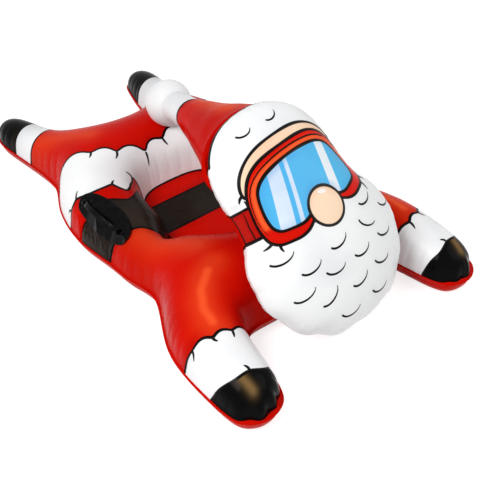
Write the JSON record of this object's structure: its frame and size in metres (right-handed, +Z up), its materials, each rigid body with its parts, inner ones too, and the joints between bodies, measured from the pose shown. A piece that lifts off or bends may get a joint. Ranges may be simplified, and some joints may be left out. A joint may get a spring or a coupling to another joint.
{
  "type": "snow sled",
  "caption": "Inflatable ride-on snow sled shaped as a prone winter rider, with a raised head pillow, a recessed seat deck, two side grips and two air valves.",
  "frame": {"origin": "on the ground under the centre of the sled's outline", "axes": "+Y towards the feet (the rear), -Y towards the head and hands (the direction of travel), +X towards the figure's left hand, +Z up"},
  "size_m": [0.8308, 1.4296, 0.4991],
  "materials": {
    "red_vinyl": "gloss",
    "white_vinyl": "gloss",
    "peach_vinyl": "gloss",
    "black_vinyl": "gloss",
    "dark_brown_vinyl": "gloss",
    "blue_vinyl": "gloss",
    "matte_black_plastic": "matte"
  },
  "bodies": {
    "sled": {"base_sheet": "red_vinyl", "body_valve_flange": "white_vinyl", "brow": "peach_vinyl", "cap_band": "white_vinyl", "cap_tail": "red_vinyl", "collar": "white_vinyl", "deck_belt": "dark_brown_vinyl", "deck_front": "red_vinyl", "deck_rear": "red_vinyl", "goggle_frame": "red_vinyl", "goggle_lens": "blue_vinyl", "head_back": "red_vinyl", "head_valve_flange": "white_vinyl", "jacket": "red_vinyl", "jacket_hem": "white_vinyl", "left_belt_side": "dark_brown_vinyl", "left_boot": "black_vinyl", "left_boot_cuff": "white_vinyl", "left_cuff": "white_vinyl", "left_goggle_strap": "red_vinyl", "left_handle_pad": "matte_black_plastic", "left_jacket_skirt": "red_vinyl", "left_mitt": "black_vinyl", "nose": "peach_vinyl", "pompom": "white_vinyl", "right_belt_side": "dark_brown_vinyl", "right_boot": "black_vinyl", "right_boot_cuff": "white_vinyl", "right_cuff": "white_vinyl", "right_goggle_strap": "red_vinyl", "right_handle_pad": "matte_black_plastic", "right_jacket_skirt": "red_vinyl", "right_mitt": "black_vinyl", "trousers": "red_vinyl"},
    "right_grip": {"right_handle_grip": "matte_black_plastic"},
    "left_grip": {"left_handle_grip": "matte_black_plastic"},
    "body_valve_stem": {"body_valve_stem": "white_vinyl"},
    "body_valve_plug": {"body_valve_plug": "white_vinyl"},
    "head_valve_stem": {"head_valve_stem": "white_vinyl"},
    "head_valve_plug": {"head_valve_plug": "white_vinyl"}
  },
  "joints": [
    {"name": "right_grip_swing", "type": "hinge", "parent": "sled", "child": "right_grip", "pos_m": [-0.3156, -0.00259, 0.15421], "axis": [-0.0342, 0.9987, 0.038], "range_deg": [-40, 40], "stiffness_Nm_per_rad": 0.15},
    {"name": "left_grip_swing", "type": "hinge", "parent": "sled", "child": "left_grip", "pos_m": [0.31504, -0.00271, 0.15359], "axis": [0.0483, 0.9974, 0.0537], "range_deg": [-40, 40], "stiffness_Nm_per_rad": 0.15},
    {"name": "body_valve_pull", "type": "slide", "parent": "sled", "child": "body_valve_stem", "axis": [0.889, -0.2693, 0.3703], "range_m": [0, 0.012]},
    {"name": "body_valve_plug_swing", "type": "hinge", "parent": "body_valve_stem", "child": "body_valve_plug", "pos_m": [0.30945, -0.15943, 0.1238], "axis": [-0.2899, -0.9571, 0], "range_deg": [0, 150]},
    {"name": "head_valve_pull", "type": "slide", "parent": "sled", "child": "head_valve_stem", "axis": [0.3898, 0.764, -0.5142], "range_m": [0, 0.012]},
    {"name": "head_valve_plug_swing", "type": "hinge", "parent": "head_valve_stem", "child": "head_valve_plug", "pos_m": [0.10367, -0.35019, 0.26496], "axis": [0.1384, -0.6006, -0.7875], "range_deg": [0, 150]}
  ]
}
